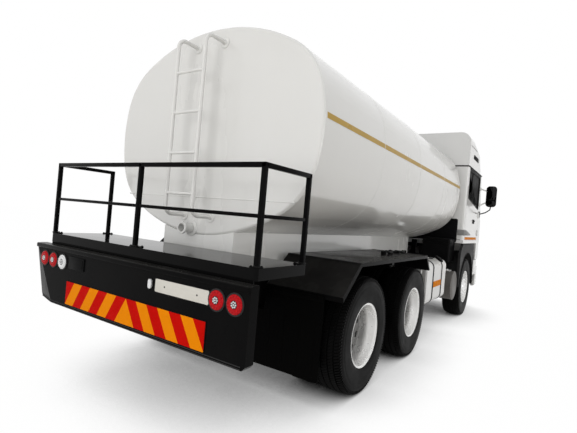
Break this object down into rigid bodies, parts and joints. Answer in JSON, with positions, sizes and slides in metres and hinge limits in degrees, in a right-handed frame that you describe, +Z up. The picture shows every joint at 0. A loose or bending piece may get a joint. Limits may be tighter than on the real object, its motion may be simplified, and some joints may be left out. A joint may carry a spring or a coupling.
{
  "type": "three-axle rigid tanker truck",
  "caption": "Rigid road tanker truck: forward tilting cab, oval tank with rear ladder, railed rear deck over a lamp panel, dual rear wheels and a steered front axle.",
  "frame": {"origin": "on the road, under the middle of the overall length and width", "axes": "+X forward towards the cab, +Y to the vehicle's left, +Z up from the road"},
  "size_m": [7.72, 3.16, 3.2998],
  "materials": {
    "white_paint": "gloss",
    "bumper_white": "gloss",
    "black_paint": "gloss",
    "chassis_black": "satin",
    "engine_grey": "matte",
    "black_plastic": "matte",
    "grey_plastic": "matte",
    "flap_rubber": "matte",
    "lamp_red": "gloss",
    "lamp_clear": "gloss",
    "tank_silver": "satin",
    "drum_steel": "satin",
    "glass": "gloss",
    "seat_fabric": "matte",
    "tyre": "matte",
    "rim_silver": "satin"
  },
  "bodies": {
    "chassis": {"air_cleaner": "black_plastic", "air_tanks": "chassis_black", "battery_box": "chassis_black", "driveline": "chassis_black", "engine": "engine_grey", "exhaust_drum": "drum_steel", "frame_crossmembers": "chassis_black", "frame_rails": "chassis_black", "front_axle": "chassis_black", "front_bumper": "bumper_white", "front_springs": "chassis_black", "front_wings": "grey_plastic", "fuel_tank": "tank_silver", "headlamps": "lamp_clear", "manway_collar": "white_paint", "mudflaps": "flap_rubber", "railing_bars": "black_paint", "railing_posts": "black_paint", "rear_axles": "chassis_black", "rear_deck": "black_paint", "rear_ladder": "white_paint", "rear_mudguards": "black_paint", "rear_springs": "chassis_black", "tail_lamps": "lamp_red", "tail_panel": "black_paint", "tank_outlet": "white_paint", "tank_saddle": "white_paint", "tank_shell": "white_paint"},
    "cab": {"cab_floor": "white_paint", "cab_back": "white_paint", "cab_front": "white_paint", "cab_roof": "white_paint", "windscreen": "glass", "mirrors": "black_paint", "seats": "seat_fabric", "dashboard": "black_plastic"},
    "door_left": {"door_left": "white_paint", "door_glass_left": "glass"},
    "door_right": {"door_right": "white_paint", "door_glass_right": "glass"},
    "knuckle_left": {"knuckle_left": "chassis_black"},
    "knuckle_right": {"knuckle_right": "chassis_black"},
    "track_rod": {"track_rod": "chassis_black"},
    "manway_lid": {"manway_lid": "white_paint"},
    "front_wheel_left": {"front_tyre_left": "tyre", "front_rim_left": "rim_silver"},
    "axle2_wheels_left": {"axle2_tyres_left": "tyre", "axle2_rims_left": "rim_silver"},
    "axle3_wheels_left": {"axle3_tyres_left": "tyre", "axle3_rims_left": "rim_silver"},
    "front_wheel_right": {"front_tyre_right": "tyre", "front_rim_right": "rim_silver"},
    "axle2_wheels_right": {"axle2_tyres_right": "tyre", "axle2_rims_right": "rim_silver"},
    "axle3_wheels_right": {"axle3_tyres_right": "tyre", "axle3_rims_right": "rim_silver"}
  },
  "joints": [
    {"name": "cab_tilt", "type": "hinge", "parent": "chassis", "child": "cab", "pos_m": [3.732, 0, 0.96], "axis": [0, 1, 0], "range_deg": [0, 55]},
    {"name": "door_left_hinge", "type": "hinge", "parent": "cab", "child": "door_left", "pos_m": [3.382, 1.25, 2], "axis": [0, 0, -1], "range_deg": [0, 70]},
    {"name": "door_right_hinge", "type": "hinge", "parent": "cab", "child": "door_right", "pos_m": [3.382, -1.25, 2], "axis": [0, 0, 1], "range_deg": [0, 70]},
    {"name": "manway_lid_hinge", "type": "hinge", "parent": "chassis", "child": "manway_lid", "pos_m": [-0.503, 0, 3.242], "axis": [0, 1, 0], "range_deg": [0, 110]},
    {"name": "steer_left", "type": "hinge", "parent": "chassis", "child": "knuckle_left", "pos_m": [2.562, 0.9, 0.525], "axis": [0, 0, 1], "range_deg": [-36, 36]},
    {"name": "steer_right", "type": "hinge", "parent": "chassis", "child": "knuckle_right", "pos_m": [2.562, -0.9, 0.525], "axis": [0, 0, 1], "range_deg": [-36, 36]},
    {"name": "track_rod_pivot", "type": "hinge", "parent": "knuckle_left", "child": "track_rod", "pos_m": [2.392, 0.9, 0.4], "axis": [0, 0, 1], "range_deg": [-36, 36]},
    {"name": "front_spin_left", "type": "hinge", "parent": "knuckle_left", "child": "front_wheel_left", "pos_m": [2.562, 1.09, 0.525], "axis": [0, 1, 0], "continuous": true},
    {"name": "axle2_spin_left", "type": "hinge", "parent": "chassis", "child": "axle2_wheels_left", "pos_m": [-0.712, 0.92, 0.525], "axis": [0, 1, 0], "continuous": true},
    {"name": "axle3_spin_left", "type": "hinge", "parent": "chassis", "child": "axle3_wheels_left", "pos_m": [-2.148, 0.92, 0.525], "axis": [0, 1, 0], "continuous": true},
    {"name": "front_spin_right", "type": "hinge", "parent": "knuckle_right", "child": "front_wheel_right", "pos_m": [2.562, -1.09, 0.525], "axis": [0, 1, 0], "continuous": true},
    {"name": "axle2_spin_right", "type": "hinge", "parent": "chassis", "child": "axle2_wheels_right", "pos_m": [-0.712, -0.92, 0.525], "axis": [0, 1, 0], "continuous": true},
    {"name": "axle3_spin_right", "type": "hinge", "parent": "chassis", "child": "axle3_wheels_right", "pos_m": [-2.148, -0.92, 0.525], "axis": [0, 1, 0], "continuous": true}
  ],
  "couplings": [
    {"joint": "steer_right", "follows": "steer_left", "ratio": 1},
    {"joint": "track_rod_pivot", "follows": "steer_left", "ratio": -1}
  ]
}
